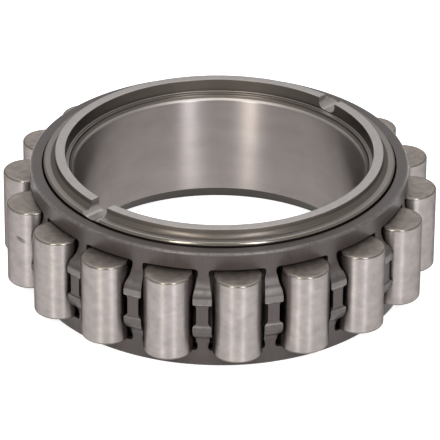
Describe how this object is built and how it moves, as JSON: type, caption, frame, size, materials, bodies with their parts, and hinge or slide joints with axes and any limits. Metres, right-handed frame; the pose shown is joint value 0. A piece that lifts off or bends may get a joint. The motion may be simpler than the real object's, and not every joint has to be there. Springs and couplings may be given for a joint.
{
  "type": "cylindrical roller bearing",
  "caption": "Cylindrical roller bearing for a transmission shaft, with a ribbed inner ring, a pressed window cage, loose straight rollers and a slotted lip at the top; no outer ring.",
  "frame": {"origin": "centre of the ring's lower end face, on the bearing's axis", "axes": "+Z along the axis towards the lip, and +X through the middle of one of the lip's slots"},
  "size_m": [0.1332, 0.1346, 0.0429],
  "materials": {
    "ground_ring_steel": "ground and honed",
    "dark_cage_steel": "dark phosphated pressed sheet",
    "roller_steel": "ground and polished"
  },
  "bodies": {
    "inner_ring": {"inner_ring": "ground_ring_steel"},
    "cage": {"cage": "dark_cage_steel"},
    "roller_01": {"roller_01": "roller_steel"},
    "roller_02": {"roller_02": "roller_steel"},
    "roller_03": {"roller_03": "roller_steel"},
    "roller_04": {"roller_04": "roller_steel"},
    "roller_05": {"roller_05": "roller_steel"},
    "roller_06": {"roller_06": "roller_steel"},
    "roller_07": {"roller_07": "roller_steel"},
    "roller_08": {"roller_08": "roller_steel"},
    "roller_09": {"roller_09": "roller_steel"},
    "roller_10": {"roller_10": "roller_steel"},
    "roller_11": {"roller_11": "roller_steel"},
    "roller_12": {"roller_12": "roller_steel"},
    "roller_13": {"roller_13": "roller_steel"},
    "roller_14": {"roller_14": "roller_steel"},
    "roller_15": {"roller_15": "roller_steel"},
    "roller_16": {"roller_16": "roller_steel"},
    "roller_17": {"roller_17": "roller_steel"},
    "roller_18": {"roller_18": "roller_steel"}
  },
  "joints": [
    {"name": "cage_spin", "type": "hinge", "parent": "inner_ring", "child": "cage", "pos_m": [0, 0, 0.0195], "axis": [0, 0, 1], "continuous": true},
    {"name": "roller_01_spin", "type": "hinge", "parent": "cage", "child": "roller_01", "pos_m": [0.05875, 0.01142, 0.0195], "axis": [0, 0, 1], "continuous": true},
    {"name": "roller_02_spin", "type": "hinge", "parent": "cage", "child": "roller_02", "pos_m": [0.0513, 0.03083, 0.0195], "axis": [0, 0, 1], "continuous": true},
    {"name": "roller_03_spin", "type": "hinge", "parent": "cage", "child": "roller_03", "pos_m": [0.03766, 0.04651, 0.0195], "axis": [0, 0, 1], "continuous": true},
    {"name": "roller_04_spin", "type": "hinge", "parent": "cage", "child": "roller_04", "pos_m": [0.01949, 0.05659, 0.0195], "axis": [0, 0, 1], "continuous": true},
    {"name": "roller_05_spin", "type": "hinge", "parent": "cage", "child": "roller_05", "pos_m": [-0.00104, 0.05984, 0.0195], "axis": [0, 0, 1], "continuous": true},
    {"name": "roller_06_spin", "type": "hinge", "parent": "cage", "child": "roller_06", "pos_m": [-0.02145, 0.05587, 0.0195], "axis": [0, 0, 1], "continuous": true},
    {"name": "roller_07_spin", "type": "hinge", "parent": "cage", "child": "roller_07", "pos_m": [-0.03927, 0.04517, 0.0195], "axis": [0, 0, 1], "continuous": true},
    {"name": "roller_08_spin", "type": "hinge", "parent": "cage", "child": "roller_08", "pos_m": [-0.05235, 0.02902, 0.0195], "axis": [0, 0, 1], "continuous": true},
    {"name": "roller_09_spin", "type": "hinge", "parent": "cage", "child": "roller_09", "pos_m": [-0.05911, 0.00936, 0.0195], "axis": [0, 0, 1], "continuous": true},
    {"name": "roller_10_spin", "type": "hinge", "parent": "cage", "child": "roller_10", "pos_m": [-0.05875, -0.01142, 0.0195], "axis": [0, 0, 1], "continuous": true},
    {"name": "roller_11_spin", "type": "hinge", "parent": "cage", "child": "roller_11", "pos_m": [-0.0513, -0.03083, 0.0195], "axis": [0, 0, 1], "continuous": true},
    {"name": "roller_12_spin", "type": "hinge", "parent": "cage", "child": "roller_12", "pos_m": [-0.03766, -0.04651, 0.0195], "axis": [0, 0, 1], "continuous": true},
    {"name": "roller_13_spin", "type": "hinge", "parent": "cage", "child": "roller_13", "pos_m": [-0.01949, -0.05659, 0.0195], "axis": [0, 0, 1], "continuous": true},
    {"name": "roller_14_spin", "type": "hinge", "parent": "cage", "child": "roller_14", "pos_m": [0.00104, -0.05984, 0.0195], "axis": [0, 0, 1], "continuous": true},
    {"name": "roller_15_spin", "type": "hinge", "parent": "cage", "child": "roller_15", "pos_m": [0.02145, -0.05587, 0.0195], "axis": [0, 0, 1], "continuous": true},
    {"name": "roller_16_spin", "type": "hinge", "parent": "cage", "child": "roller_16", "pos_m": [0.03927, -0.04517, 0.0195], "axis": [0, 0, 1], "continuous": true},
    {"name": "roller_17_spin", "type": "hinge", "parent": "cage", "child": "roller_17", "pos_m": [0.05235, -0.02902, 0.0195], "axis": [0, 0, 1], "continuous": true},
    {"name": "roller_18_spin", "type": "hinge", "parent": "cage", "child": "roller_18", "pos_m": [0.05911, -0.00936, 0.0195], "axis": [0, 0, 1], "continuous": true}
  ],
  "couplings": [
    {"joint": "roller_01_spin", "follows": "cage_spin", "ratio": 6.9733},
    {"joint": "roller_02_spin", "follows": "cage_spin", "ratio": 6.9733},
    {"joint": "roller_03_spin", "follows": "cage_spin", "ratio": 6.9733},
    {"joint": "roller_04_spin", "follows": "cage_spin", "ratio": 6.9733},
    {"joint": "roller_05_spin", "follows": "cage_spin", "ratio": 6.9733},
    {"joint": "roller_06_spin", "follows": "cage_spin", "ratio": 6.9733},
    {"joint": "roller_07_spin", "follows": "cage_spin", "ratio": 6.9733},
    {"joint": "roller_08_spin", "follows": "cage_spin", "ratio": 6.9733},
    {"joint": "roller_09_spin", "follows": "cage_spin", "ratio": 6.9733},
    {"joint": "roller_10_spin", "follows": "cage_spin", "ratio": 6.9733},
    {"joint": "roller_11_spin", "follows": "cage_spin", "ratio": 6.9733},
    {"joint": "roller_12_spin", "follows": "cage_spin", "ratio": 6.9733},
    {"joint": "roller_13_spin", "follows": "cage_spin", "ratio": 6.9733},
    {"joint": "roller_14_spin", "follows": "cage_spin", "ratio": 6.9733},
    {"joint": "roller_15_spin", "follows": "cage_spin", "ratio": 6.9733},
    {"joint": "roller_16_spin", "follows": "cage_spin", "ratio": 6.9733},
    {"joint": "roller_17_spin", "follows": "cage_spin", "ratio": 6.9733},
    {"joint": "roller_18_spin", "follows": "cage_spin", "ratio": 6.9733}
  ]
}
